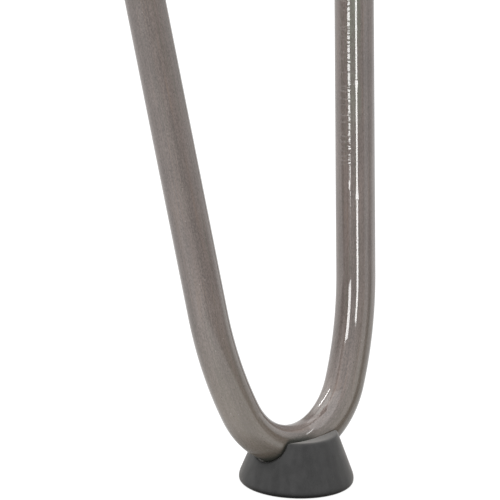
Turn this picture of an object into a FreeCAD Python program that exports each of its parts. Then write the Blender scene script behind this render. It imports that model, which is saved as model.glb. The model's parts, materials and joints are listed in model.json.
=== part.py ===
"""Hairpin table leg.

One round steel bar is bent into a V, its two ends are welded under a flat mounting plate, and a
rubber foot grips the bar where it comes down to the floor.

Millimetres, +Z up. The origin is the centre of the plate's top face, where the table rests.
The V opens along X. Going down it leans towards -Y, which is the outer corner of the table.
"""

import FreeCAD, Part
import math
import os

from FreeCAD import Vector

# Whole leg
LEG_HEIGHT = 406.0  # floor to the underside of the table

# Bent bar, with its radii measured to the bar's centreline
BAR_DIAMETER = 12.0
NOSE_RADIUS = 24.5  # the tight bend over the foot
NOSE_HALF_ANGLE = 65.0  # how far the tight bend goes each side of its lowest point
SHOULDER_RADIUS = 107.8  # the slow bend from the nose into each straight
SPLAY_ANGLE = 7.25  # each straight, from the V's middle line
LEAN_ANGLE = 10.25  # the plane of the V, from upright

# Mounting plate, a square set cornerwise with its inner corner cut off
PLATE_THICKNESS = 5.0
PLATE_MARGIN = 4.0  # plate left outside each weld and each screw hole
PLATE_CORNER_RADIUS = 10.0
PLATE_EDGE_BREAK = 0.5
INNER_CORNER_CUT = 40.0  # taken off both sides at the inner corner
SCREW_HOLE_DIAMETER = 6.0
SCREW_HOLE_PITCH = 70.0  # side of the square that the four holes make

# Weld bead round each end of the bar
WELD_LEG = 4.0  # along the plate and down the bar
WELD_FULLNESS = 0.62  # reach from the bar at half depth, as a share of the leg
WELD_TOE = 0.4  # how deep in the bar the bead's lower edge starts, before it is trimmed

# Rubber foot
FOOT_BASE_DIAMETER = 34.9
FOOT_WALL_ANGLE = 21.2  # of the cone's side, from upright
FOOT_BAND_HEIGHT = 2.0  # the upright rim at the floor
FOOT_GRIP = 1.7  # how far the foot reaches up past the bar's centreline, at its lowest point
FOOT_TOP_CURVE_RADIUS = 62.0  # the foot's top is hollow along the bar, flatter than the bend
FOOT_SOLE = 6.15  # from the floor to the bar
FOOT_GROOVE_CLEARANCE = 0.1  # between the bar and its groove, all round
FOOT_SOLE_EDGE_RADIUS = 0.5
FOOT_BAND_EDGE_RADIUS = 1.0
FOOT_TOP_EDGE_RADIUS = 2.4

# Worked out from the sizes above
BAR_RADIUS = BAR_DIAMETER / 2
SPLAY = math.radians(SPLAY_ANGLE)
LEAN = math.radians(LEAN_ANGLE)
NOSE_TURN = math.radians(NOSE_HALF_ANGLE)
STRAIGHT_TURN = math.pi / 2 - SPLAY  # the bar's whole turn, from its lowest point to a straight
FLOOR_Z = -LEG_HEIGHT
UNDERSIDE_Z = -PLATE_THICKNESS
NOSE_Z = FLOOR_Z + FOOT_SOLE + BAR_RADIUS  # the lowest point of the bar's centreline
NOSE_Y = (NOSE_Z - UNDERSIDE_Z) * math.tan(LEAN)
RISE_TO_PLATE = (UNDERSIDE_Z - NOSE_Z) / math.cos(LEAN)  # up the leaning plane
FOOT_BLANK_HEIGHT = FOOT_SOLE + BAR_DIAMETER  # the cone before its top is cut to follow the bar
FOOT_BLANK_TOP_RADIUS = FOOT_BASE_DIAMETER / 2 - math.tan(math.radians(FOOT_WALL_ANGLE)) * (
    FOOT_BLANK_HEIGHT - FOOT_BAND_HEIGHT
)


def nose_end():
    """Where the tight bend ends: across and up from the lowest point, in the leaning plane."""
    return NOSE_RADIUS * math.sin(NOSE_TURN), NOSE_RADIUS * (1 - math.cos(NOSE_TURN))


def shoulder_point(turn):
    """The point of the slow bend where the bar has turned that far from the lowest point."""
    across, up = nose_end()
    across += SHOULDER_RADIUS * (math.sin(turn) - math.sin(NOSE_TURN))
    up += SHOULDER_RADIUS * (math.cos(NOSE_TURN) - math.cos(turn))
    return across, up


def straight_point(up):
    """The point of the straight that far up the leaning plane."""
    start_across, start_up = shoulder_point(STRAIGHT_TURN)
    return start_across + (up - start_up) * math.tan(SPLAY), up


def place(point, side):
    """Where an across-and-up point really is, on the +X side (1) or the -X side (-1)."""
    across, up = point
    return Vector(side * across, NOSE_Y + up * math.sin(LEAN), NOSE_Z + up * math.cos(LEAN))


def bar_axis(side, depth):
    """The centreline of a straight, that far below the plate's underside."""
    return place(straight_point(RISE_TO_PLATE - depth / math.cos(LEAN)), side)


def bar_path():
    """The bar's whole centreline as one wire, running on past the plate at both ends."""
    nose = Part.Arc(place(nose_end(), -1), place((0.0, 0.0), 1), place(nose_end(), 1))
    edges = [nose.toShape()]
    for side in (-1, 1):
        halfway = place(shoulder_point((NOSE_TURN + STRAIGHT_TURN) / 2), side)
        straight_start = place(shoulder_point(STRAIGHT_TURN), side)
        past_plate = bar_axis(side, -BAR_DIAMETER)
        edges.append(Part.Arc(place(nose_end(), side), halfway, straight_start).toShape())
        edges.append(Part.LineSegment(straight_start, past_plate).toShape())
    return Part.Wire(Part.__sortEdges__(edges))


def round_bar(radius):
    """A round bar of that radius along the whole centreline."""
    path = bar_path()
    end = path.OrderedVertexes[0].Point
    heading = end - path.OrderedVertexes[1].Point
    section = Part.Wire(Part.Circle(end, heading, radius).toShape())
    return path.makePipeShell([section], True, False)


def build_rod():
    """The bent bar, with both ends cut flush with the plate's underside."""
    reach = 4 * (bar_axis(1, 0).x + BAR_DIAMETER)
    corner = Vector(-reach / 2, -reach / 2, UNDERSIDE_Z)
    return round_bar(BAR_RADIUS).cut(Part.makeBox(reach, reach, reach, corner))


def plate_half_side():
    """Half the plate's side, so that welds and screw holes both keep their margin."""
    weld_reach = bar_axis(1, 0).x / math.sqrt(2) + BAR_RADIUS + WELD_LEG
    hole_reach = SCREW_HOLE_PITCH / math.sqrt(2) + SCREW_HOLE_DIAMETER / 2
    return PLATE_MARGIN + max(weld_reach, hole_reach)


def build_plate():
    """The flat plate, with rounded corners, broken edges and four screw holes."""
    corner = plate_half_side() * math.sqrt(2)
    cut = INNER_CORNER_CUT / math.sqrt(2)
    outline = [(corner, 0), (cut, corner - cut), (-cut, corner - cut), (-corner, 0), (0, -corner)]
    points = [Vector(x, y, UNDERSIDE_Z) for x, y in outline]
    face = Part.Face(Part.makePolygon(points + points[:1]))
    plate = face.extrude(Vector(0, 0, PLATE_THICKNESS))
    upright = [edge for edge in plate.Edges if edge.BoundBox.ZLength > PLATE_THICKNESS / 2]
    plate = plate.makeFillet(PLATE_CORNER_RADIUS, upright)
    rims = [edge for edge in plate.Edges if edge.BoundBox.ZLength < PLATE_THICKNESS / 2]
    plate = plate.makeChamfer(PLATE_EDGE_BREAK, rims)
    for side in (-1, 1):
        for end in (-1, 1):
            foot_of_hole = Vector(side, end, 0) * (SCREW_HOLE_PITCH / 2) + Vector(0, 0, UNDERSIDE_Z)
            hole = Part.makeCylinder(SCREW_HOLE_DIAMETER / 2, PLATE_THICKNESS, foot_of_hole)
            plate = plate.cut(hole)
    return plate


def build_weld(side, rod):
    """The bead round one end of the bar, fullest against the plate."""
    reach_at_depth = {
        0: WELD_LEG,
        WELD_LEG / 2: WELD_LEG * WELD_FULLNESS,
        WELD_LEG: -WELD_TOE,
    }
    sections = []
    for depth, reach in reach_at_depth.items():
        ring = Part.Circle(bar_axis(side, depth), Vector(0, 0, 1), BAR_RADIUS + reach)
        sections.append(Part.Wire(ring.toShape()))
    return Part.makeLoft(sections, True, False).cut(rod)


def foot_cone():
    """The foot's outside, a cone with an upright rim, turned about the nose."""
    profile = [
        (0, 0),
        (FOOT_BASE_DIAMETER / 2, 0),
        (FOOT_BASE_DIAMETER / 2, FOOT_BAND_HEIGHT),
        (FOOT_BLANK_TOP_RADIUS, FOOT_BLANK_HEIGHT),
        (0, FOOT_BLANK_HEIGHT),
    ]
    points = [Vector(across, NOSE_Y, FLOOR_Z + up) for across, up in profile]
    face = Part.Face(Part.makePolygon(points + points[:1]))
    cone = face.revolve(Vector(0, NOSE_Y, 0), Vector(0, 0, 1), 360)
    for height, radius in ((0, FOOT_SOLE_EDGE_RADIUS), (FOOT_BAND_HEIGHT, FOOT_BAND_EDGE_RADIUS)):
        rim = [edge for edge in cone.Edges if is_rim(edge, FLOOR_Z + height)]
        cone = cone.makeFillet(radius, rim)
    return cone


def is_rim(edge, height):
    """Whether an edge is a circle round the foot at that height."""
    return isinstance(edge.Curve, Part.Circle) and abs(edge.Curve.Center.z - height) < 1e-6


def is_top(edge):
    """Whether an edge is the foot's upper rim, and not the straight seam of its cone."""
    return edge.BoundBox.ZMax > NOSE_Z + FOOT_GRIP and not isinstance(edge.Curve, Part.Line)


def build_foot():
    """The rubber foot: its top leans with the bar, and its groove lets the bend snap in."""
    across_plane = Vector(0, -math.cos(LEAN), math.sin(LEAN))
    reach = FOOT_BASE_DIAMETER
    start = place((0.0, FOOT_GRIP + FOOT_TOP_CURVE_RADIUS), 1) - across_plane * reach
    hollow = Part.makeCylinder(FOOT_TOP_CURVE_RADIUS, 2 * reach, start, across_plane)
    hollow.rotate(start, across_plane, 180)  # its seam clear of the foot
    foot = foot_cone().cut(hollow)
    top = [edge for edge in foot.Edges if is_top(edge)]
    return foot.makeFillet(FOOT_TOP_EDGE_RADIUS, top).cut(round_bar(BAR_RADIUS + FOOT_GROOVE_CLEARANCE))


def main():
    """Build every piece and write one file for each."""
    rod = build_rod()
    pieces = {
        "hairpin_rod": rod,
        "mounting_plate": build_plate(),
        "weld_bead_left": build_weld(-1, rod),
        "weld_bead_right": build_weld(1, rod),
        "rubber_foot": build_foot(),
    }
    os.makedirs("parts", exist_ok=True)
    for name, shape in pieces.items():
        shape.exportStep(f"parts/{name}.step")


main()
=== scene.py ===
"""The looks of a hairpin table leg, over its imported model.

A round steel bar under clear lacquer is bent to a V, welded under a corner plate, and stands on a
moulded rubber foot. Metres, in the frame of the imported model: +Z up, the origin in the middle of
the plate's top face, the V open along X and leaning down towards -Y.
"""

from __future__ import annotations

import json
import logging
import math
from dataclasses import dataclass
from enum import Enum
from typing import Any, Iterable

import bmesh
import bpy
from bpy.types import Material, Mesh, Node, NodeSocket, NodeTree, Object
from mathutils import Matrix, Vector


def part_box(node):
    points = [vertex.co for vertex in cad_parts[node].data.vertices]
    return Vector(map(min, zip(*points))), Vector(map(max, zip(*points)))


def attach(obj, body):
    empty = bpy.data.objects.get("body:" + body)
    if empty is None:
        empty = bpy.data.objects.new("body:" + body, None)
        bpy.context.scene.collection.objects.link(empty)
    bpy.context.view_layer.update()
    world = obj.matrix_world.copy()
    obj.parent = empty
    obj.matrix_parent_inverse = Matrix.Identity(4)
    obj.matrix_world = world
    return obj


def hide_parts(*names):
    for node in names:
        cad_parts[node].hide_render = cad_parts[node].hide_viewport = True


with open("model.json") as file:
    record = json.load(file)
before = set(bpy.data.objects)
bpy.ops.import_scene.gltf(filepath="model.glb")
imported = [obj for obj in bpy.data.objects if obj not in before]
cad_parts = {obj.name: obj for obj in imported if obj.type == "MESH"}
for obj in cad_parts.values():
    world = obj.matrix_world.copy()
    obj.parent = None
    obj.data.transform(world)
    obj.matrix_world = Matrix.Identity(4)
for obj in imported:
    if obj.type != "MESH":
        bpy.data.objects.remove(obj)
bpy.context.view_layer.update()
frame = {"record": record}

LOG = logging.getLogger("hairpin_leg")
MM = 0.001
BODY = "root"
STRAIGHT_PLACE = "straight_place"  # attribute: where a point lay on the bar before it was bent
Colour = tuple[float, float, float]
WHITE: Colour = (1.0, 1.0, 1.0)


class Side(Enum):
    """The two ends of the bent bar, by the sign of X."""

    LEFT = -1
    RIGHT = 1


class PatternSpace(Enum):
    """What a finish's pattern is laid out on."""

    OBJECT = "object"
    STRAIGHT_BAR = "straight bar"


class Wiring:
    """Adds nodes to one tree and joins them."""

    def __init__(self, tree: NodeTree) -> None:
        """Keep the tree that this wiring adds to."""
        self.tree = tree

    def node(
        self, kind: str, sockets: dict[Any, Any] | None = None, **settings: Any
    ) -> Node:
        """Add one node.

        Args:
            kind: the node's type name.
            sockets: an input's name or number, to a socket to link from or a plain value.
            **settings: the node's own properties.

        Returns:
            The new node.
        """
        node = self.tree.nodes.new(kind)
        for name, value in settings.items():
            setattr(node, name, value)
        self.feed_all(node, sockets or {})
        return node

    def feed(self, socket: NodeSocket, value: Any) -> None:
        """Link a socket, or set its plain value."""
        if isinstance(value, NodeSocket):
            self.tree.links.new(value, socket)
        elif socket.type == "RGBA":
            socket.default_value = (*value, 1.0)
        else:
            socket.default_value = value

    def feed_all(self, node: Node, sockets: dict[Any, Any]) -> None:
        """Feed several of a node's inputs, by name or number."""
        for key, value in sockets.items():
            self.feed(node.inputs[key], value)

    def group(self, tree: NodeTree, sockets: dict[str, Any]) -> Any:
        """Place a shader group and give its outputs."""
        return self.node("ShaderNodeGroup", sockets, node_tree=tree).outputs

    def math(self, operation: str, *values: Any) -> NodeSocket:
        """One sum on numbers."""
        return self.node("ShaderNodeMath", dict(enumerate(values)), operation=operation).outputs[0]

    def times(self, first: Any, second: Any) -> NodeSocket:
        """Two numbers multiplied."""
        return self.math("MULTIPLY", first, second)

    def apart(self, first: Any, second: Any) -> NodeSocket:
        """How far apart two numbers are."""
        return self.math("ABSOLUTE", self.math("SUBTRACT", first, second))

    def total(self, *parts: tuple[Any, float]) -> NodeSocket:
        """Numbers added up, each times its weight."""
        whole = self.times(*parts[0])
        for value, weight in parts[1:]:
            whole = self.math("MULTIPLY_ADD", value, weight, whole)
        return whole

    def vector(self, operation: str, *values: Any, output: int | str = 0) -> NodeSocket:
        """One sum on vectors; its output named Value is a number."""
        sockets = dict(enumerate(values))
        return self.node("ShaderNodeVectorMath", sockets, operation=operation).outputs[output]

    def scale(self, vector: Any, factor: Any) -> NodeSocket:
        """A vector times a number."""
        sockets = {0: vector, "Scale": factor}
        return self.node("ShaderNodeVectorMath", sockets, operation="SCALE").outputs[0]

    def split(self, vector: Any) -> Any:
        """A vector's X, Y and Z."""
        return self.node("ShaderNodeSeparateXYZ", {0: vector}).outputs

    def join(self, x: Any, y: Any, z: Any) -> NodeSocket:
        """A vector from its X, Y and Z."""
        return self.node("ShaderNodeCombineXYZ", {0: x, 1: y, 2: z}).outputs[0]

    def stretch(self, place: Any, across: float, along: float) -> NodeSocket:
        """A place divided by a feature's size across the grain (X, Y) and along it (Z)."""
        return self.vector("MULTIPLY", place, (1 / across, 1 / across, 1 / along))

    def ramp(
        self, value: Any, start: float, end: float, low: float = 0.0, high: float = 1.0
    ) -> NodeSocket:
        """A smooth, clamped change from one range to another."""
        sockets = dict(enumerate((value, start, end, low, high)))
        return self.node("ShaderNodeMapRange", sockets, interpolation_type="SMOOTHSTEP").outputs[0]

    def noise(self, place: Any, detail: float = 2.0, roughness: float = 0.5) -> NodeSocket:
        """Smooth noise with features about one unit of the place across."""
        sockets = {"Vector": place, "Scale": 1.0, "Detail": detail, "Roughness": roughness}
        return self.node("ShaderNodeTexNoise", sockets).outputs["Fac"]

    def blend(self, share: Any, first: Any, second: Any) -> NodeSocket:
        """A mix of two colours."""
        node = self.node("ShaderNodeMix", data_type="RGBA")
        colours = [socket for socket in node.inputs if socket.type == "RGBA"]
        for socket, value in zip((node.inputs[0], *colours), (share, first, second)):
            self.feed(socket, value)
        return next(socket for socket in node.outputs if socket.type == "RGBA")

    def bump(self, height: Any, distance: float, strength: float = 1.0) -> NodeSocket:
        """A normal from a height, where the distance is that of a height of one."""
        sockets = {"Height": height, "Distance": distance, "Strength": strength}
        return self.node("ShaderNodeBump", sockets).outputs["Normal"]


def start_tree(
    name: str, kind: str, inputs: dict[str, tuple[str, Any]], outputs: dict[str, str]
) -> tuple[NodeTree, Wiring, Any]:
    """Start a new node group with its named sockets.

    Args:
        name: the group's name.
        kind: "Shader" or "Geometry".
        inputs: socket name, to its type and its first value.
        outputs: socket name, to its type.

    Returns:
        The group, its wiring, and what it is given.
    """
    tree = bpy.data.node_groups.new(name, kind + "NodeTree")
    new = tree.interface.new_socket
    for label, (short, value) in inputs.items():
        socket = new(name=label, in_out="INPUT", socket_type="NodeSocket" + short)
        if value is not None:
            socket.default_value = value
    for label, short in outputs.items():
        new(name=label, in_out="OUTPUT", socket_type="NodeSocket" + short)
    wire = Wiring(tree)
    return tree, wire, wire.node("NodeGroupInput").outputs


def new_object(name: str, data: bpy.types.ID) -> Object:
    """A mesh, curve, lamp or camera as an object of the scene, at the origin."""
    piece = bpy.data.objects.new(name, data)
    bpy.context.scene.collection.objects.link(piece)
    return piece


def polyline(name: str, points: Iterable[Vector], closed: bool = False) -> Object:
    """A line of edges, for geometry nodes to follow."""
    places = [tuple(point) for point in points]
    edges = [(i, i + 1) for i in range(len(places) - 1)]
    if closed:
        edges.append((len(places) - 1, 0))
    mesh = bpy.data.meshes.new(name)
    mesh.from_pydata(places, edges, [])
    return new_object(name, mesh)


def grow(piece: Object, tree: NodeTree, inputs: dict[str, Any]) -> None:
    """Put a geometry tree on a piece, with its inputs set by name."""
    modifier = piece.modifiers.new(tree.name, "NODES")
    modifier.node_group = tree
    for item in tree.interface.items_tree:
        if item.name in inputs:
            modifier[item.identifier] = inputs[item.name]


def freeze(piece: Object) -> Object:
    """Turn a piece's modifiers into plain mesh."""
    graph = bpy.context.evaluated_depsgraph_get()
    mesh = bpy.data.meshes.new_from_object(
        piece.evaluated_get(graph), preserve_all_data_layers=True, depsgraph=graph
    )
    piece.modifiers.clear()
    piece.data = mesh
    mesh.name = piece.name
    return piece


def skin_over(piece: Object, voxel: float, passes: int) -> None:
    """Give a piece one closed skin with softened edges, by remeshing and smoothing."""
    remesh = piece.modifiers.new("one skin", "REMESH")
    remesh.mode = "VOXEL"
    remesh.voxel_size = voxel
    remesh.use_smooth_shade = True
    smooth = piece.modifiers.new("soft edges", "SMOOTH")
    smooth.factor = 0.5
    smooth.iterations = passes


def dress(piece: Object, finish: Material) -> None:
    """Give the whole piece one finish."""
    piece.data.materials.clear()
    piece.data.materials.append(finish)


def spokes(count: int) -> list[Vector]:
    """Directions round a circle, evenly apart."""
    turns = (math.tau * step / count for step in range(count))
    return [Vector((math.cos(turn), math.sin(turn))) for turn in turns]


def seat(piece: Object, node: str) -> None:
    """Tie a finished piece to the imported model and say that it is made."""
    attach(piece, BODY)
    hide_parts(node)
    LOG.info("%s: %d faces, for %s", piece.name, len(piece.data.polygons), node)


def rounded(corners: list[tuple[float, float, float]], steps: int) -> list[Vector]:
    """An outline's points, with each corner rounded.

    Args:
        corners: each corner's two coordinates and its radius.
        steps: straight pieces in each round corner.

    Returns:
        The points in order. A corner of radius 0 stays one point.
    """
    points: list[Vector] = []
    for index, (x, y, radius) in enumerate(corners):
        corner = Vector((x, y))
        if radius == 0:
            points.append(corner)
            continue
        before = (Vector(corners[index - 1][:2]) - corner).normalized()
        after = (Vector(corners[(index + 1) % len(corners)][:2]) - corner).normalized()
        half = before.angle(after) / 2
        centre = corner + (before + after).normalized() * (radius / math.sin(half))
        start = corner + before * (radius / math.tan(half)) - centre
        end = corner + after * (radius / math.tan(half)) - centre
        turn = start.angle_signed(end)
        for step in range(steps + 1):
            angle = -turn * step / steps
            spun = Matrix.Rotation(angle, 2) @ start
            points.append(centre + spun)
    return points


@dataclass(frozen=True)
class BarLine:
    """The line that the bent bar follows, in its own leaning plane and in space."""

    nose: Vector  # its lowest point
    underside: float  # the height of the plate's underside
    radius: float = 6.0 * MM
    nose_radius: float = 24.5 * MM
    nose_turn: float = math.radians(65.0)
    shoulder_radius: float = 107.8 * MM
    splay: float = math.radians(7.25)
    lean: float = math.radians(10.25)
    nose_steps: int = 60
    shoulder_steps: int = 24
    straight_steps: int = 60

    @classmethod
    def from_model(cls) -> BarLine:
        """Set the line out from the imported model's boxes."""
        foot_low, foot_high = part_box("rubber_foot")
        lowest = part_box("hairpin_rod")[0].z + cls.radius
        nose = Vector((0.0, (foot_low.y + foot_high.y) / 2, lowest))
        return cls(nose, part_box("mounting_plate")[0].z)

    @property
    def rise(self) -> float:
        """From the nose to the plate's underside, up the leaning plane."""
        return (self.underside - self.nose.z) / math.cos(self.lean)

    @property
    def length(self) -> float:
        """The whole line's length, from end to end."""
        points = self.points()
        return sum((after - before).length for before, after in zip(points, points[1:]))

    def place(self, across: float, up: float) -> Vector:
        """Where a point of the leaning plane is in space."""
        lift = Vector((0.0, math.sin(self.lean), math.cos(self.lean)))
        return self.nose + Vector((across, 0.0, 0.0)) + lift * up

    def half(self) -> list[tuple[float, float]]:
        """The line from the nose to the plate, in the leaning plane, without the nose itself."""
        points = []
        for step in range(1, self.nose_steps + 1):
            turn = self.nose_turn * step / self.nose_steps
            radius = self.nose_radius
            points.append((radius * math.sin(turn), radius * (1 - math.cos(turn))))
        across, up = points[-1]
        last_turn = math.pi / 2 - self.splay
        for step in range(1, self.shoulder_steps + 1):
            turn = self.nose_turn + (last_turn - self.nose_turn) * step / self.shoulder_steps
            points.append((
                across + self.shoulder_radius * (math.sin(turn) - math.sin(self.nose_turn)),
                up + self.shoulder_radius * (math.cos(self.nose_turn) - math.cos(turn)),
            ))
        across, up = points[-1]
        for step in range(1, self.straight_steps + 1):
            gain = (self.rise - up) * step / self.straight_steps
            points.append((across + gain * math.tan(self.splay), up + gain))
        return points

    def points(self) -> list[Vector]:
        """The whole line in space, from the left end to the right end."""
        half = self.half()
        left = [self.place(-across, up) for across, up in reversed(half)]
        return left + [self.nose] + [self.place(across, up) for across, up in half]

    def heading(self, side: Side) -> Vector:
        """The direction of one straight, upwards."""
        ahead = self.place(side.value * math.tan(self.splay), 1.0) - self.nose
        return ahead.normalized()

    def end(self, side: Side, depth: float = 0.0) -> Vector:
        """A straight's centre at a depth below the plate's underside."""
        across, up = self.half()[-1]
        heading = self.heading(side)
        return self.place(side.value * across, up) - heading * (depth / heading.z)


def build_sweep_tree() -> NodeTree:
    """Geometry nodes that sweep a round bar along a line.

    Returns:
        The tree. It also stores each point's place on the straight bar, for finishes that follow
        the bar round its bends.
    """
    inputs = {
        "Line": ("Geometry", None),
        "Bar Radius": ("Float", 6.0 * MM),
        "Ring Sides": ("Int", 96),
        "Finish": ("Material", None),
    }
    outputs = {"Bar": "Geometry"}
    tree, wire, given = start_tree("Round bar along a line", "Geometry", inputs, outputs)
    line = wire.node("GeometryNodeMeshToCurve", {"Mesh": given["Line"]}).outputs["Curve"]
    ring = wire.node(
        "GeometryNodeCurvePrimitiveCircle",
        {"Resolution": given["Ring Sides"], "Radius": given["Bar Radius"]},
    ).outputs["Curve"]
    length = wire.node("GeometryNodeSplineParameter").outputs["Length"]
    along = captured(wire, line, "FLOAT", length)
    around = captured(wire, ring, "VECTOR", wire.node("GeometryNodeInputPosition").outputs[0])
    sweep = wire.node(
        "GeometryNodeCurveToMesh",
        {
            "Curve": along.outputs["Geometry"],
            "Profile Curve": around.outputs["Geometry"],
            "Fill Caps": True,
        },
    ).outputs["Mesh"]
    split = wire.split(around.outputs["Kept"])
    stored = wire.node(
        "GeometryNodeStoreNamedAttribute", data_type="FLOAT_VECTOR", domain="POINT"
    )
    wire.feed_all(stored, {
        "Geometry": sweep,
        "Name": STRAIGHT_PLACE,
        "Value": wire.join(split["X"], split["Y"], along.outputs["Kept"]),
    })
    finish_tree(wire, stored.outputs["Geometry"], given["Finish"], "Bar")
    return tree


def captured(wire: Wiring, geometry: NodeSocket, kind: str, value: NodeSocket) -> Node:
    """A node that keeps a value of a geometry's points, as its output named Kept."""
    node = wire.node("GeometryNodeCaptureAttribute")
    node.capture_items.new(kind, "Kept")
    wire.feed_all(node, {"Geometry": geometry, "Kept": value})
    return node


def finish_tree(
    wire: Wiring, geometry: NodeSocket, finish: NodeSocket, name: str
) -> None:
    """End a geometry tree: smooth shading, real geometry and its material, to the named output."""
    smooth = wire.node("GeometryNodeSetShadeSmooth", {"Geometry": geometry}).outputs[0]
    real = wire.node("GeometryNodeRealizeInstances", {"Geometry": smooth}).outputs[0]
    dressed = wire.node(
        "GeometryNodeSetMaterial", {"Geometry": real, "Material": finish}
    ).outputs[0]
    wire.node("NodeGroupOutput", {name: dressed})


def build_ripple_tree() -> NodeTree:
    """Geometry nodes that lay overlapping ripples of weld metal along a line.

    Returns:
        The tree. Each ripple is a flattened bead that faces out of the corner it fills.
    """
    inputs = {
        "Line": ("Geometry", None),
        "Ripple Count": ("Int", 41),
        "Ripple Length": ("Float", 1.3 * MM),
        "Ripple Width": ("Float", 3.0 * MM),
        "Ripple Height": ("Float", 1.5 * MM),
        "Ripple Lean": ("Float", 0.4),
        "Unevenness": ("Float", 0.1),
        "Seed": ("Int", 1),
        "Finish": ("Material", None),
    }
    outputs = {"Bead": "Geometry"}
    tree, wire, given = start_tree("Weld ripples along a line", "Geometry", inputs, outputs)
    line = wire.node("GeometryNodeMeshToCurve", {"Mesh": given["Line"]}).outputs["Curve"]
    spots = wire.node(
        "GeometryNodeCurveToPoints", {"Curve": line, "Count": given["Ripple Count"]}
    ).outputs
    outward = wire.vector("CROSS_PRODUCT", spots["Tangent"], (0.0, 0.0, 1.0))
    facing = wire.vector("SUBTRACT", outward, (0.0, 0.0, 1.0))
    leant = wire.scale(spots["Tangent"], given["Ripple Lean"])
    turned = wire.node(
        "FunctionNodeAxesToRotation",
        {"Primary Axis": wire.vector("ADD", facing, leant), "Secondary Axis": spots["Tangent"]},
        primary_axis="Z",
        secondary_axis="X",
    ).outputs[0]
    size = wire.join(given["Ripple Length"], given["Ripple Width"], given["Ripple Height"])
    least = wire.math("SUBTRACT", 1.0, given["Unevenness"])
    most = wire.math("ADD", 1.0, given["Unevenness"])
    chance = wire.node(
        "FunctionNodeRandomValue", {2: least, 3: most, "Seed": given["Seed"]}, data_type="FLOAT"
    ).outputs[1]
    uneven = wire.scale(size, chance)
    drop = wire.node("GeometryNodeMeshIcoSphere", {"Radius": 1.0, "Subdivisions": 4}).outputs[0]
    laid = wire.node(
        "GeometryNodeInstanceOnPoints",
        {"Points": spots["Points"], "Instance": drop, "Rotation": turned, "Scale": uneven},
    ).outputs[0]
    finish_tree(wire, laid, given["Finish"], "Bead")
    return tree


def build_grain_group() -> NodeTree:
    """The marks that rolling and drawing leave on steel, on a place in millimetres.

    Returns:
        The group. Its grain is fine and runs along Z, its streaks are narrow and its bands
        wide and long, and its patches are broad and soft; all four go from 0 to 1.
    """
    inputs = {
        "Place": ("Vector", None),
        "Grain Size": ("Float", 0.3),
        "Grain Length": ("Float", 0.8),
        "Band Width": ("Float", 2.6),
    }
    outputs = {name: "Float" for name in ("Grain", "Streaks", "Bands", "Patches")}
    tree, wire, given = start_tree("Mill grain", "Shader", inputs, outputs)
    place = wire.split(given["Place"])
    fine, long = (
        wire.join(
            wire.math("DIVIDE", place["X"], across),
            wire.math("DIVIDE", place["Y"], across),
            wire.math("DIVIDE", place["Z"], along),
        )
        for across, along in (
            (given["Grain Size"], given["Grain Length"]), (given["Band Width"], 160.0)
        )
    )
    narrow = wire.stretch(given["Place"], 0.7, 28.0)
    grain = wire.ramp(wire.noise(fine, 3.0, 0.65), 0.3, 0.7, 0.0, 1.0)
    streaks = wire.ramp(wire.noise(narrow, 2.0, 0.6), 0.35, 0.68, 0.0, 1.0)
    bands = wire.ramp(wire.noise(long, 2.0, 0.6), 0.3, 0.7, 0.0, 1.0)
    broad = wire.stretch(given["Place"], 7.0, 14.0)
    patches = wire.ramp(wire.noise(broad, 3.0, 0.55), 0.3, 0.7, 0.0, 1.0)
    wire.node(
        "NodeGroupOutput",
        {"Grain": grain, "Streaks": streaks, "Bands": bands, "Patches": patches},
    )
    return tree


def build_speck_group() -> NodeTree:
    """Sparse small specks, such as dust or pin-pricks, as a mask on a place in millimetres."""
    inputs = {
        "Place": ("Vector", None),
        "Spacing": ("Float", 5.0),
        "Speck Size": ("Float", 0.25),
    }
    tree, wire, given = start_tree("Specks", "Shader", inputs, {"Mask": "Float"})
    spread = wire.scale(given["Place"], wire.math("DIVIDE", 1.0, given["Spacing"]))
    cells = wire.node("ShaderNodeTexVoronoi", {"Vector": spread, "Scale": 1.0}).outputs
    distance = wire.times(cells["Distance"], given["Spacing"])
    share = wire.math("DIVIDE", distance, given["Speck Size"])
    wire.node("NodeGroupOutput", {"Mask": wire.ramp(share, 0.4, 1.0, 1.0, 0.0)})
    return tree


def build_edge_group() -> NodeTree:
    """A mask that is 1 on sharp outward or inward edges and 0 on open faces."""
    inputs = {"Edge Width": ("Float", 0.6 * MM)}
    tree, wire, given = start_tree("Worn edges", "Shader", inputs, {"Mask": "Float"})
    softened = wire.node(
        "ShaderNodeBevel", {"Radius": given["Edge Width"]}, samples=6
    ).outputs["Normal"]
    flat = wire.node("ShaderNodeNewGeometry").outputs["Normal"]
    agree = wire.vector("DOT_PRODUCT", softened, flat, output="Value")
    wire.node("NodeGroupOutput", {"Mask": wire.ramp(agree, 0.82, 0.995, 1.0, 0.0)})
    return tree


def build_crevice_shade_group() -> NodeTree:
    """A painted-shade mask from ambient occlusion: 1 down in the gap between two pieces and 0 on
    open faces.
    """
    inputs = {"Reach": ("Float", 2.0 * MM)}
    tree, wire, given = start_tree("Crevices", "Shader", inputs, {"Mask": "Float"})
    openness = wire.node(
        "ShaderNodeAmbientOcclusion", {"Distance": given["Reach"]}, samples=8
    ).outputs["AO"]
    wire.node("NodeGroupOutput", {"Mask": wire.ramp(openness, 0.45, 0.97, 1.0, 0.0)})
    return tree


@dataclass(frozen=True)
class SharedEffects:
    """The shader groups that more than one finish uses."""

    grain: NodeTree
    specks: NodeTree
    edges: NodeTree
    crevices: NodeTree

    @classmethod
    def build(cls) -> SharedEffects:
        """Make the groups once."""
        return cls(
            build_grain_group(), build_speck_group(), build_edge_group(), build_crevice_shade_group()
        )


def cleared(owner: Material | bpy.types.World) -> Wiring:
    """The wiring of a material or a world, once its own nodes are cleared."""
    owner.use_nodes = True
    owner.node_tree.nodes.clear()
    return Wiring(owner.node_tree)


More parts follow.
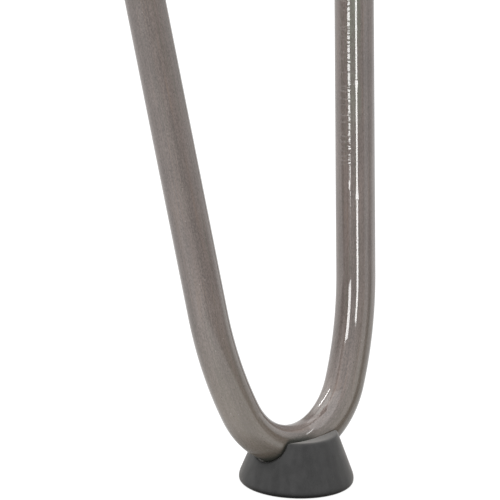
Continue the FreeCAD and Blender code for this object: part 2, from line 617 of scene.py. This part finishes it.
def start_material(name: str) -> tuple[Material, Wiring, Node]:
    """A new material with only its shader and output.

    Args:
        name: the material's name.

    Returns:
        The material, the wiring of its tree, and its shader.
    """
    material = bpy.data.materials.new(name)
    wire = cleared(material)
    shader = wire.node("ShaderNodeBsdfPrincipled")
    wire.node("ShaderNodeOutputMaterial", {"Surface": shader.outputs[0]})
    return material, wire, shader


def place_in_mm(wire: Wiring, space: PatternSpace) -> NodeSocket:
    """The place that a pattern is laid out on, in millimetres."""
    if space is PatternSpace.STRAIGHT_BAR:
        node = wire.node("ShaderNodeAttribute", attribute_name=STRAIGHT_PLACE)
        place = node.outputs["Vector"]
    else:
        place = wire.node("ShaderNodeTexCoord").outputs["Object"]
    return wire.vector("MULTIPLY", place, (1 / MM, 1 / MM, 1 / MM))


@dataclass(frozen=True)
class Sag:
    """A place where the lacquer ran before it set: a lip across the bar, with a shallow tail."""

    degrees: float  # round the bar
    rise: float  # of its lip, along the bar from the lowest point, in millimetres
    reach: float  # how far its tail goes up from the lip, or down where negative
    height: float  # in millimetres, or its depth where negative
    half_width: float = 1.4


@dataclass(frozen=True)
class LacqueredSteel:
    """Raw drawn or rolled steel under clear gloss lacquer."""

    name: str
    space: PatternSpace
    effects: SharedEffects
    pale: Colour = (0.222, 0.180, 0.163)
    deep: Colour = (0.104, 0.084, 0.075)
    green: Colour = (0.144, 0.145, 0.112)
    rust: Colour = (0.18, 0.12, 0.08)
    amber: Colour = (0.150, 0.123, 0.090)
    speck: Colour = (0.34, 0.31, 0.28)
    pit: Colour = (0.03, 0.026, 0.023)
    # painted shade: the dark colour laid where ambient occlusion finds a nearby piece, within this
    # reach
    crevice_shade_colour: Colour = (0.035, 0.036, 0.029)
    crevice_shade_reach: float = 9.0 * MM
    grain_size: float = 0.3
    grain_length: float = 0.8
    edge_lift: float = 0.0
    metal: float = 0.6
    coat_roughness: float = 0.05
    coat_ior: float = 1.6
    # In millimetres, on the straight bar. The plate and the welds have no middle and no ripple.
    bar_radius: float = 6.0
    ripple: float = 0.0  # how deep the lacquer's waves are
    middle: float = 0.0  # where the bar's lowest point is
    least_shade_spot: float = 16.0  # how far up one side the painted crevice shade is lightest
    pool_fade: tuple[float, float] = (20.0, 75.0)  # how far up the yellow pool thins, and ends
    run_start: float = 92.0  # how far up one side a greenish run of lacquer begins
    run_way: tuple[float, float] = (-0.19, -0.98)  # the side of the bar that it is on, as X and Y
    ridge_start: float = 92.0  # how far up both sides fine ridges begin
    ridge_way: tuple[float, float] = (-0.57, -0.82)
    side_start: float = 5.45  # how far out to such a side the marks on it begin
    sags: tuple[Sag, ...] = ()

    def material(self) -> Material:
        """Build the finish."""
        material, wire, shader = start_material(self.name)
        place = place_in_mm(wire, self.space)
        marks = wire.group(self.effects.grain, {
            "Place": place, "Grain Size": self.grain_size, "Grain Length": self.grain_length
        })
        grain, streaks, bands, patches = marks.values()
        tone = wire.total((grain, 0.45), (bands, 0.25), (streaks, 0.15), (patches, 0.15))
        colour = wire.blend(tone, self.deep, self.pale)
        rusty = wire.times(wire.ramp(streaks, 0.75, 1.0, 0.0, 0.35), patches)
        colour = wire.blend(rusty, colour, self.rust)
        greenish = wire.times(wire.ramp(streaks, 0.3, 0.0, 0.0, 0.4), bands)
        if self.middle:
            mottle = wire.total((patches, 0.5), (grain, 0.5))
            greenish = wire.math("MAXIMUM", greenish, self.run(wire, place, mottle))
        colour = wire.blend(greenish, colour, self.green)
        if self.middle:
            colour = wire.blend(self.pool(wire, place, grain), colour, self.amber)
        for spacing, size, share, spot in (
            (2.2, 0.22, 0.5, self.speck), (1.7, 0.25, 0.45, self.pit)
        ):
            moved = wire.vector("ADD", place, (spacing, 0.0, 40 * size))
            specks = wire.group(
                self.effects.specks, {"Place": moved, "Spacing": spacing, "Speck Size": size}
            )
            colour = wire.blend(wire.times(specks["Mask"], share), colour, spot)
        # Painted shade: the colour darkens where ambient occlusion finds a nearby piece, and the
        # coat is thinned there so that it reflects less.
        occlusion_mask = wire.group(self.effects.crevices, {"Reach": self.crevice_shade_reach})
        painted_shade = wire.ramp(occlusion_mask["Mask"], 0.0, 0.3)
        if self.middle:
            painted_shade = wire.times(painted_shade, self.shade_kept(wire, place))
        colour = wire.blend(painted_shade, colour, self.crevice_shade_colour)
        if self.edge_lift:
            edges = wire.group(self.effects.edges, {})
            colour = wire.blend(wire.times(edges["Mask"], self.edge_lift), colour, self.speck)
        wire.feed_all(shader, {
            "Base Color": colour,
            "Metallic": self.metal,
            "Roughness": wire.ramp(tone, 0.2, 0.8, 0.85, 0.7),
            "Normal": wire.bump(grain, 0.004 * MM, 0.6),
            # a thinner coat in the painted shade, so that the crevices reflect less
            "Coat Weight": wire.ramp(painted_shade, 0.0, 1.0, 1.0, 0.2),
            "Coat Roughness": self.coat_roughness,
            "Coat IOR": self.coat_ior,
        })
        if self.ripple:
            wire.feed(shader.inputs["Coat Normal"], self.waves(wire, place))
        return material

    def shade_kept(self, wire: Wiring, place: Any) -> NodeSocket:
        """How much painted crevice shade is kept: least on one side of the bend, over the foot."""
        off = wire.apart(wire.split(place)["Z"], self.middle + self.least_shade_spot)
        return wire.ramp(off, 11.0, 19.0, 0.3, 1.0)

    def waves(self, wire: Wiring, place: Any) -> NodeSocket:
        """The lacquer's own surface, as a normal: slow waves, fine ridges, and sags."""
        slow = wire.noise(wire.stretch(place, 5.0, 9.0), 1.0)
        chatter = wire.noise(wire.stretch(place, 9.0, 0.9), 1.0)
        height = wire.total(
            (slow, 0.5),
            (chatter, 0.12),
            (self.ridges(wire, place), 1.6),
            *((self.sagging(wire, place, sag), sag.height / self.ripple) for sag in self.sags),
        )
        return wire.bump(height, self.ripple * MM)

    def beside(
        self, wire: Wiring, place: Any, way: tuple[float, float], blur: float
    ) -> NodeSocket:
        """How far a place is on one side of the bar, as a share, blurred over some millimetres."""
        at = wire.split(place)
        out = wire.total((at["Y"], way[1]), (at["X"], way[0]))
        return wire.ramp(out, self.side_start, self.side_start + blur)

    def ridges(self, wire: Wiring, place: Any) -> NodeSocket:
        """Fine ridges across the bar's upper straights, on the side that hung lowest to dry."""
        beat = wire.noise(wire.stretch(place, 14.0, 1.9), 1.0)
        ridge = wire.ramp(wire.apart(beat, 0.5), 0.0, 0.08, 1.0, 0.0)
        up = wire.apart(wire.split(place)["Z"], self.middle)
        high = wire.ramp(up, self.ridge_start, self.ridge_start + 6.0)
        return wire.times(ridge, wire.times(self.beside(wire, place, self.ridge_way, 0.3), high))

    def sagging(self, wire: Wiring, place: Any, sag: Sag) -> NodeSocket:
        """One sag's shape, from 0 clear of it to 1 at its lip."""
        angle = math.radians(sag.degrees)
        spot = (self.bar_radius * math.cos(angle), self.bar_radius * math.sin(angle), 0.0)
        level = wire.vector("MULTIPLY", place, (1.0, 1.0, 0.0))
        off = wire.vector("DISTANCE", level, spot, output="Value")
        up = wire.math("SUBTRACT", wire.split(place)["Z"], self.middle + sag.rise)
        along = wire.math("DIVIDE", up, sag.reach)
        shape = wire.times(wire.ramp(along, 0.0, 0.07), wire.ramp(along, 0.08, 1.0, 1.0, 0.0))
        return wire.times(shape, wire.ramp(off, 0.0, sag.half_width, 1.0, 0.0))

    def run(self, wire: Wiring, place: Any, mottle: Any) -> NodeSocket:
        """Where lacquer has run thick down one side of the bar, as a share.

        Args:
            wire: the finish's wiring.
            place: the place on the straight bar, in millimetres.
            mottle: the run's unevenness, from 0 to 1.

        Returns:
            The share, which fades in from run_start.
        """
        side = self.beside(wire, place, self.run_way, 0.45)
        start = self.middle + self.run_start
        along = wire.ramp(wire.split(place)["Z"], start, start + 30.0)
        return wire.times(wire.times(side, along), wire.ramp(mottle, 0.2, 0.75, 0.15, 1.0))

    def pool(self, wire: Wiring, place: Any, grain: Any) -> NodeSocket:
        """Where lacquer has gathered, thick and yellow, on the outside of the bend, as a share."""
        at = wire.split(place)
        low = wire.ramp(wire.apart(at["Z"], self.middle), *self.pool_fade, 1.0, 0.0)
        outside = wire.ramp(at["X"], -1.0, 4.0)
        return wire.times(wire.times(low, outside), wire.ramp(grain, 0.0, 1.0, 0.9, 0.5))


@dataclass(frozen=True)
class MouldedRubber:
    """Matt black moulded rubber, a little greyed by handling."""

    name: str
    effects: SharedEffects
    black: Colour = (0.034, 0.034, 0.0345)
    grey: Colour = (0.066, 0.066, 0.066)
    dust: Colour = (0.16, 0.155, 0.145)
    # painted shade: the near-black laid in the groove round the bar and low along the sole, where
    # ambient occlusion finds a nearby surface
    gap: Colour = (0.006, 0.006, 0.006)
    gap_shade_reach: float = 4.0 * MM
    shine: float = 0.12
    bloom: float = 0.46  # the pale haze on handled rubber
    bloom_tint: Colour = (1.0, 0.96, 0.91)

    def material(self) -> Material:
        """Build the finish."""
        material, wire, shader = start_material(self.name)
        place = place_in_mm(wire, PatternSpace.OBJECT)
        cloud, smear = (
            wire.ramp(wire.noise(wire.stretch(place, across, along), 3.0), 0.3, 0.7)
            for across, along in ((5.0, 5.0), (2.0, 9.0))
        )
        fine = wire.noise(wire.stretch(place, 0.35, 0.35), 2.0, 0.6)
        tone = wire.total((cloud, 0.25), (fine, 0.5), (smear, 0.25))
        colour = wire.blend(tone, self.black, self.grey)
        specks = wire.group(
            self.effects.specks, {"Place": place, "Spacing": 3.5, "Speck Size": 0.2}
        )
        edges = wire.group(self.effects.edges, {})
        dusty = wire.total((specks["Mask"], 0.25), (edges["Mask"], 0.06))
        colour = wire.blend(dusty, colour, self.dust)
        # Painted shade: the colour darkens to near black where ambient occlusion finds the bar or
        # the floor close by.
        occlusion_mask = wire.group(self.effects.crevices, {"Reach": self.gap_shade_reach})
        painted_shade = wire.ramp(occlusion_mask["Mask"], 0.15, 0.85)
        wire.feed_all(shader, {
            "Base Color": wire.blend(painted_shade, colour, self.gap),
            "Roughness": wire.ramp(tone, 0.2, 0.8, 0.7, 0.6),
            "Specular IOR Level": self.shine,
            "Sheen Weight": self.bloom,
            "Sheen Roughness": 0.42,
            "Sheen Tint": self.bloom_tint,
            "Normal": wire.bump(fine, 0.02 * MM, 0.7),
        })
        return material


@dataclass
class BentBar:
    """The one round bar, bent to a V."""

    line: BarLine
    finish: LacqueredSteel
    sweep: NodeTree
    ring_sides: int = 128

    def build(self) -> Object:
        """Sweep the bar and bring both ends flush with the plate's underside."""
        bar = polyline("bent_bar", self.line.points())
        grow(bar, self.sweep, {
            "Bar Radius": self.line.radius,
            "Ring Sides": self.ring_sides,
            "Finish": self.finish.material(),
        })
        freeze(bar)
        self.trim(bar.data)
        seat(bar, "hairpin_rod")
        return bar

    def trim(self, mesh: Mesh) -> None:
        """Slide each end's rim along the bar until it lies in the plate's underside."""
        for side in Side:
            heading = self.line.heading(side)
            end = self.line.end(side)
            for vertex in mesh.vertices:
                if abs((vertex.co - end).dot(heading)) < 0.05 * MM:
                    slide = (self.line.underside - vertex.co.z) / heading.z
                    vertex.co += heading * slide


@dataclass
class CornerPlate:
    """The flat plate that screws to the table, its inner corner cut off."""

    finish: LacqueredSteel
    corner_radius: float = 10.0 * MM
    edge_radius: float = 0.5 * MM
    corner_steps: int = 16
    edge_steps: int = 3
    hole_sides: int = 64

    def outline(self) -> list[Vector]:
        """The plate's edge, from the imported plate's own box."""
        low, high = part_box("mounting_plate")
        corner = high.x + self.corner_radius * (math.sqrt(2) - 1)
        cut = corner - high.y
        radius = self.corner_radius
        corners = [
            (corner, 0.0, radius),
            (cut, high.y, radius),
            (-cut, high.y, radius),
            (-corner, 0.0, radius),
            (0.0, -corner, radius),
        ]
        return rounded(corners, self.corner_steps)

    def holes(self) -> list[list[Vector]]:
        """The four screw holes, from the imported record's screw pattern."""
        mounts = {mount["name"]: mount for mount in frame["record"]["mounts"]}
        dims = mounts["table_screws"]["dims"]
        radius = dims["hole_r_mm"] * MM
        centres = [
            Vector((x * dims["spacing_x_mm"], y * dims["spacing_y_mm"])) * MM
            for x in (-0.5, 0.5) for y in (-0.5, 0.5)
        ]
        return [
            [centre + spoke * radius for spoke in spokes(self.hole_sides)] for centre in centres
        ]

    def build(self) -> Object:
        """Cut the plate out of flat stock with rounded edges."""
        low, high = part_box("mounting_plate")
        curve = bpy.data.curves.new("corner_plate", "CURVE")
        curve.dimensions = "2D"
        curve.fill_mode = "BOTH"
        curve.extrude = (high.z - low.z) / 2 - self.edge_radius
        curve.bevel_depth = self.edge_radius
        curve.bevel_resolution = self.edge_steps
        curve.offset = -self.edge_radius
        for ring in [self.outline(), *self.holes()]:
            spline = curve.splines.new("POLY")
            spline.points.add(len(ring) - 1)
            spline.use_cyclic_u = True
            for point, place in zip(spline.points, ring):
                point.co = (place.x, place.y, 0.0, 1.0)
        flat = new_object("corner_plate_outline", curve)
        graph = bpy.context.evaluated_depsgraph_get()
        mesh = bpy.data.meshes.new_from_object(flat.evaluated_get(graph), depsgraph=graph)
        bpy.data.objects.remove(flat)
        mesh.transform(Matrix.Translation((0.0, 0.0, (low.z + high.z) / 2)))
        self.close(mesh)
        plate = new_object("corner_plate", mesh)
        dress(plate, self.finish.material())
        seat(plate, "mounting_plate")
        return plate

    def close(self, mesh: Mesh) -> None:
        """Weld the plate's faces and rims into one closed shell, smooth only round its edges."""
        shell = bmesh.new()
        shell.from_mesh(mesh)
        bmesh.ops.remove_doubles(shell, verts=shell.verts, dist=0.005 * MM)
        bmesh.ops.recalc_face_normals(shell, faces=shell.faces)
        for face in shell.faces:
            face.smooth = abs(face.normal.z) < 0.999
        shell.to_mesh(mesh)
        shell.free()


@dataclass
class WeldBead:
    """The weld round one end of the bar, laid in overlapping ripples."""

    side: Side
    line: BarLine
    finish: LacqueredSteel
    ripples: NodeTree
    reach: float = 1.3 * MM  # the ripples' middles, out from the bar and down from the plate
    ripple_count: int = 41
    line_steps: int = 96
    voxel: float = 0.16 * MM
    softness: int = 3  # rounds of smoothing

    def track(self) -> list[Vector]:
        """The ring that the ripples' middles lie on."""
        centre = self.line.end(self.side, self.reach)
        heading = self.line.heading(self.side)
        points = []
        for spoke in spokes(self.line_steps):
            out = spoke.to_3d()
            slope = math.sqrt(1 - heading.dot(out) ** 2)
            points.append(centre + out * (self.line.radius / slope + self.reach))
        return points

    def build(self) -> Object:
        """Lay the ripples and give them one skin."""
        side = self.side.name.lower()
        finish = self.finish.material()
        bead = polyline(f"{side}_weld", self.track(), closed=True)
        grow(bead, self.ripples, {
            "Ripple Count": self.ripple_count, "Seed": 3 + self.side.value, "Finish": finish
        })
        skin_over(bead, self.voxel, self.softness)
        freeze(bead)
        dress(bead, finish)
        seat(bead, f"weld_bead_{side}")
        return bead


@dataclass
class ConeFoot:
    """The moulded foot: a cone with an upright rim, a top that follows the bar, and its groove."""

    line: BarLine
    finish: MouldedRubber
    sweep: NodeTree
    wall_angle: float = math.radians(21.2)
    band_height: float = 2.0 * MM
    sole_edge: float = 0.5 * MM
    band_edge: float = 1.0 * MM
    grip: float = 1.7 * MM  # how far it reaches up past the bar's centreline
    top_curve_radius: float = 62.0 * MM
    groove_clearance: float = 0.35 * MM
    spin_steps: int = 160
    edge_steps: int = 6
    hollow_sides: int = 256
    groove_sides: int = 96
    voxel: float = 0.24 * MM
    rim_softness: int = 70  # rounds of smoothing
    lip_softness: int = 16

    def blank(self) -> Object:
        """The whole cone before its top and groove are cut, turned about the nose."""
        low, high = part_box("rubber_foot")
        base_radius = (high.x - low.x) / 2
        top = self.line.nose.z + self.line.radius
        rise = top - low.z - self.band_height
        corners = [
            (0.0, low.z, 0.0),
            (base_radius, low.z, self.sole_edge),
            (base_radius, low.z + self.band_height, self.band_edge),
            (base_radius - rise * math.tan(self.wall_angle), top, 0.0),
            (0.0, top, 0.0),
        ]
        profile = rounded(corners, self.edge_steps)
        shell = bmesh.new()
        rim = [shell.verts.new((point.x, self.line.nose.y, point.y)) for point in profile]
        edges = [shell.edges.new(pair) for pair in zip(rim, rim[1:])]
        bmesh.ops.spin(
            shell,
            geom=rim + edges,
            cent=(0.0, self.line.nose.y, 0.0),
            axis=(0.0, 0.0, 1.0),
            angle=math.tau,
            steps=self.spin_steps,
        )
        return self.closed_object("cone_foot", shell)

    def hollow(self) -> Object:
        """The round space over the foot, which leaves its top leaning with the bar."""
        across_plane = Vector((0.0, -math.cos(self.line.lean), math.sin(self.line.lean)))
        middle = self.line.place(0.0, self.grip + self.top_curve_radius)
        turn = across_plane.to_track_quat("Z", "X").to_matrix().to_4x4()
        shell = bmesh.new()
        bmesh.ops.create_cone(
            shell,
            cap_ends=True,
            segments=self.hollow_sides,
            radius1=self.top_curve_radius,
            radius2=self.top_curve_radius,
            depth=4 * self.top_curve_radius,
            matrix=Matrix.Translation(middle) @ turn,
        )
        return self.closed_object("hollow", shell)

    def closed_object(self, name: str, shell: bmesh.types.BMesh) -> Object:
        """Close a shell, turn its faces outward and make it an object."""
        bmesh.ops.remove_doubles(shell, verts=shell.verts, dist=0.001 * MM)
        bmesh.ops.recalc_face_normals(shell, faces=shell.faces)
        mesh = bpy.data.meshes.new(name)
        shell.to_mesh(mesh)
        shell.free()
        return new_object(name, mesh)

    def groove(self) -> Object:
        """The bar's own shape, a little larger."""
        reach = self.line.nose.z + 2 * self.line.nose_radius
        near = [point for point in self.line.points() if point.z < reach]
        groove = polyline("groove", near)
        grow(groove, self.sweep, {
            "Bar Radius": self.line.radius + self.groove_clearance,
            "Ring Sides": self.groove_sides,
        })
        return freeze(groove)

    def build(self) -> Object:
        """Cut the top and round its rim well, then cut the groove and soften every edge."""
        foot = self.blank()
        steps = ((self.hollow(), self.rim_softness), (self.groove(), self.lip_softness))
        for cutter, softness in steps:
            cut = foot.modifiers.new(cutter.name, "BOOLEAN")
            cut.operation = "DIFFERENCE"
            cut.solver = "EXACT"
            cut.object = cutter
            skin_over(foot, self.voxel, softness)
            freeze(foot)
            bpy.data.objects.remove(cutter)
        dress(foot, self.finish.material())
        seat(foot, "rubber_foot")
        return foot


@dataclass(frozen=True)
class Softbox:
    """One lamp, placed by where the leg sees it from the camera's side."""

    name: str
    turn: float  # degrees to the picture's right of the camera
    height: float  # degrees above the horizon
    width: float
    tall: float
    radiance: float
    distance: float = 2.0


RoomStops = tuple[tuple[float, float], ...]


@dataclass(frozen=True)
class FloorRing:
    """How bright one ring of the floor is where only gloss shows it."""

    start: float  # metres from the foot, where it begins to show
    whole: float  # and where it has taken over from the ring inside it
    stops: RoomStops


@dataclass
class Studio:
    """The camera, the lamps, and a white floor and surround."""

    sole: Vector  # the middle of the foot's underside
    heading: float = math.radians(44.864)  # the camera looks this far round from +X towards +Y
    elevation: float = 17.842  # degrees above the horizon, seen from the leg
    roll: float = math.radians(1.659)
    distance: float = 2.2714
    focal_widths: float = 7571.8 / 500  # focal length, in picture widths
    aim_right: float = -16.0 * MM  # the picture's middle, from the middle of the sole
    aim_up: float = 72.89 * MM
    floor_size: float = 30.0
    softboxes: tuple[Softbox, ...] = (
        Softbox("front_softbox", 11.0, 9.5, 0.32, 0.46, 14.0),
        Softbox("left_softbox", -34.5, 13.1, 0.5, 0.568, 12.0),
        Softbox("left_back_strip", -117.0, 37.5, 1.3, 0.11, 22.0),
        Softbox("right_strip", 107.0, 43.0, 0.08, 0.5, 9.0),
        Softbox("overhead_softbox", 0.0, 90.0, 3.0, 3.0, 1.25),
    )
    # How bright the surround is where only gloss shows it, by degrees right of the camera.
    walls: RoomStops = (
        (-180, 0.9), (-174, 0.9), (-169, 0.25), (-160, 0.25), (-150, 0.8), (-127, 1.1),
        (-97, 0.9), (-84, 0.15), (-67, 0.2), (-48, 0.3), (-30, 0.9), (18, 0.8), (28, 0.6),
        (49, 0.7), (57, 1.6), (82, 1.6), (90, 0.3), (97, 0.1), (106, 0.2), (111, 1.2),
        (125, 1.4), (152, 1.2), (160, 0.2), (171, 0.2), (176, 0.9), (180, 0.9),
    )
    upper_walls: RoomStops = (
        (-180, 0.9), (-174, 0.9), (-169, 0.3), (-160, 0.3), (-150, 1.4), (-135, 2.0), (-95, 1.8),
        (-75, 1.4), (-52, 1.3), (25, 1.3), (50, 1.5), (82, 1.4), (95, 0.9), (112, 1.4),
        (140, 1.2), (152, 0.9), (160, 0.3), (171, 0.3), (176, 0.9), (180, 0.9),
    )
    floor_rings: tuple[FloorRing, ...] = (
        FloorRing(0.02, 0.045, (
            (-180, 0.9), (-120, 1.0), (-90, 1.1), (-60, 1.45), (-40, 1.75), (-15, 1.8), (6, 1.8),
            (20, 1.7), (35, 1.6), (60, 1.6), (75, 1.3), (84, 0.5), (90, 0.2), (101, 0.2),
            (111, 0.9), (180, 0.9),
        )),
        FloorRing(0.18, 0.32, (
            (-180, 0.8), (-135, 0.9), (-110, 1.1), (-85, 1.25), (-60, 1.4), (-37, 1.45),
            (-22, 1.2), (-6, 0.9), (12, 0.8), (24, 0.6), (38, 0.4), (90, 0.33), (97, 0.35),
            (106, 1.0), (112, 1.3), (128, 1.3), (145, 0.9), (180, 0.7),
        )),
        FloorRing(0.55, 0.9, (
            (-180, 1.0), (-97, 1.0), (-86, 0.2), (-70, 0.15), (-50, 0.3), (-32, 1.0),
            (-10, 0.85), (5, 0.75), (24, 0.62), (50, 0.4), (62, 0.4), (88, 0.45), (97, 0.6),
            (105, 1.0), (127, 0.9), (150, 0.9), (160, 0.3), (172, 0.3), (178, 0.9), (180, 0.9),
        )),
        FloorRing(1.4, 2.3, (
            (-180, 1.0), (-97, 1.0), (-86, 0.3), (-50, 0.35), (-32, 1.0), (5, 0.75), (50, 0.5),
            (68, 0.8), (84, 1.0), (104, 1.1), (112, 1.0), (180, 1.0),
        )),
    )
    upper_start: tuple[float, float] = (0.15, 0.4)  # how high the upper walls begin, and are whole
    under_foot: float = 0.5  # the floor's brightness close to the foot, inside every ring
    daylight: float = 0.58  # the plain light that the surround gives to what isn't gloss
    floor_colour: float = 0.2
    floor_glow: float = 0.9  # what the floor adds for the eye, so that it is white

    @property
    def ahead(self) -> Vector:
        """The camera's heading on plan."""
        return Vector((math.cos(self.heading), math.sin(self.heading), 0.0))

    @property
    def right(self) -> Vector:
        """The picture's right, on plan."""
        return Vector((math.sin(self.heading), -math.cos(self.heading), 0.0))

    @property
    def aim(self) -> Vector:
        """The place in the picture's middle."""
        return self.sole + self.right * self.aim_right + Vector((0.0, 0.0, self.aim_up))

    def toward(self, turn: float, height: float) -> Vector:
        """A direction out from the leg, by degrees right of the camera and above the horizon."""
        turn, height = math.radians(turn), math.radians(height)
        level = self.right * math.sin(turn) - self.ahead * math.cos(turn)
        return level * math.cos(height) + Vector((0.0, 0.0, math.sin(height)))

    def camera(self) -> None:
        """Set the camera up as the picture was taken."""
        data = bpy.data.cameras.new("camera")
        data.sensor_width = 36.0
        data.lens = data.sensor_width * self.focal_widths
        data.clip_end = 100.0
        camera = new_object("camera", data)
        back = self.toward(0.0, self.elevation)
        turned = (-back).to_track_quat("-Z", "Y").to_matrix() @ Matrix.Rotation(self.roll, 3, "Z")
        camera.matrix_world = Matrix.Translation(self.aim + back * self.distance) @ turned.to_4x4()
        bpy.context.scene.camera = camera

    def light(self, box: Softbox) -> None:
        """Hang one softbox, out of the camera's sight."""
        data = bpy.data.lights.new(box.name, "AREA")
        data.shape = "RECTANGLE"
        data.size = box.width
        data.size_y = box.tall
        data.energy = box.radiance * math.pi * box.width * box.tall
        lamp = new_object(box.name, data)
        direction = self.toward(box.turn, box.height)
        lamp.location = self.aim + direction * box.distance
        lamp.rotation_mode = "QUATERNION"
        lamp.rotation_quaternion = direction.to_track_quat("Z", "Y")
        lamp.visible_camera = False

    def turn_of(self, wire: Wiring, direction: Any) -> NodeSocket:
        """A direction's turn on plan: 0 to 1 for -180 to 180 degrees right of the camera."""
        dots = (
            wire.vector("DOT_PRODUCT", direction, tuple(axis), output="Value")
            for axis in (self.right, -self.ahead)
        )
        return wire.math("MULTIPLY_ADD", wire.math("ARCTAN2", *dots), 1 / math.tau, 0.5)

    def round_the_room(self, wire: Wiring, turn: Any, stops: RoomStops) -> NodeSocket:
        """The brightness of the room by direction on plan.

        Args:
            wire: the world's wiring.
            turn: the direction, from 0 to 1 for -180 to 180 degrees right of the camera.
            stops: degrees and brightness, in order.

        Returns:
            The brightness.
        """
        node = wire.node("ShaderNodeFloatCurve", {"Value": turn})
        curve = node.mapping.curves[0]
        while len(curve.points) < len(stops):
            curve.points.new(0.5, 0.5)
        for point, (degrees, brightness) in zip(curve.points, stops):
            point.location = (degrees / 360 + 0.5, brightness / 2)
            point.handle_type = "VECTOR"
        node.mapping.update()
        return wire.times(node.outputs[0], 2.0)

    def seen(self, wire: Wiring, path: Any) -> NodeSocket:
        """Whether the eye looks at a place, also through glass."""
        return wire.math("MAXIMUM", path["Is Camera Ray"], path["Is Transmission Ray"])

    def surround(self) -> None:
        """Make the world white to the eye, plain light to the leg, and walls to its gloss."""
        world = bpy.data.worlds.new("surround")
        bpy.context.scene.world = world
        wire = cleared(world)
        path = wire.node("ShaderNodeLightPath").outputs
        direction = wire.node("ShaderNodeTexCoord").outputs["Generated"]
        turn = self.turn_of(wire, direction)
        low = self.round_the_room(wire, turn, self.walls)
        high = self.round_the_room(wire, turn, self.upper_walls)
        upper = wire.ramp(wire.split(direction)["Z"], *self.upper_start)
        room = wire.blend(upper, low, high)
        colour = wire.blend(path["Is Glossy Ray"], (self.daylight,) * 3, room)
        colour = wire.blend(self.seen(wire, path), colour, WHITE)
        background = wire.node("ShaderNodeBackground", {"Color": colour, "Strength": 1.0})
        wire.node("ShaderNodeOutputWorld", {"Surface": background.outputs[0]})

    def floor(self) -> None:
        """Lay a floor that is white to the eye, keeps a faint shadow, and shows in the gloss."""
        half = self.floor_size / 2
        mesh = bpy.data.meshes.new("floor")
        corners = [(-half, -half), (half, -half), (half, half), (-half, half)]
        mesh.from_pydata([(x, y, self.sole.z) for x, y in corners], [], [(0, 1, 2, 3)])
        floor = new_object("floor", mesh)
        material = bpy.data.materials.new("white_floor")
        wire = cleared(material)
        material.cycles.emission_sampling = "NONE"
        path = wire.node("ShaderNodeLightPath").outputs
        place = wire.node("ShaderNodeTexCoord").outputs["Object"]
        place = wire.vector("SUBTRACT", place, tuple(self.sole))
        turn = self.turn_of(wire, place)
        away = wire.vector("LENGTH", place, output="Value")
        shown: Any = (self.under_foot,) * 3
        for ring in self.floor_rings:
            outer = self.round_the_room(wire, turn, ring.stops)
            shown = wire.blend(wire.ramp(away, ring.start, ring.whole), shown, outer)
        white = wire.times(self.seen(wire, path), self.floor_glow)
        gloss = wire.math("MAXIMUM", wire.math("SUBTRACT", shown, self.floor_colour), 0.0)
        light = wire.math("ADD", white, wire.times(gloss, path["Is Glossy Ray"]))
        matt = wire.node("ShaderNodeBsdfDiffuse", {"Color": (self.floor_colour,) * 3}).outputs[0]
        glow = wire.node("ShaderNodeEmission", {"Color": WHITE, "Strength": light})
        both = wire.node("ShaderNodeAddShader", {0: matt, 1: glow.outputs[0]}).outputs[0]
        wire.node("ShaderNodeOutputMaterial", {"Surface": both})
        mesh.materials.append(material)

    def build(self) -> None:
        """Set up everything round the leg."""
        self.camera()
        self.surround()
        self.floor()
        for box in self.softboxes:
            self.light(box)


def main() -> None:
    """Build the studio and every piece of the leg."""
    logging.basicConfig(level=logging.INFO, format="%(name)s: %(message)s")
    bpy.context.scene.view_settings.view_transform = "Standard"
    line = BarLine.from_model()
    effects = SharedEffects.build()
    sweep = build_sweep_tree()
    ripples = build_ripple_tree()
    foot_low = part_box("rubber_foot")[0]
    Studio(Vector((0.0, line.nose.y, foot_low.z))).build()
    bar_steel = LacqueredSteel(
        "lacquered_bar", PatternSpace.STRAIGHT_BAR, effects,
        bar_radius=line.radius / MM,
        ripple=0.028,
        middle=line.length / 2 / MM,
        sags=(
            Sag(-95.0, 120.7, -5.0, -0.036),
            Sag(-95.0, 83.9, 5.0, -0.036),
            Sag(-117.0, 86.7, 3.4, 0.05),
        ),
    )
    plate_steel = LacqueredSteel(
        "lacquered_plate", PatternSpace.OBJECT, effects, edge_lift=0.5, coat_roughness=0.12
    )
    weld_steel = LacqueredSteel(
        "lacquered_weld", PatternSpace.OBJECT, effects, edge_lift=0.3, coat_roughness=0.15
    )
    rubber = MouldedRubber("moulded_rubber", effects)
    BentBar(line, bar_steel, sweep).build()
    CornerPlate(plate_steel).build()
    for side in Side:
        WeldBead(side, line, weld_steel, ripples).build()
    ConeFoot(line, rubber, sweep).build()


if __name__ == "__main__":
    main()
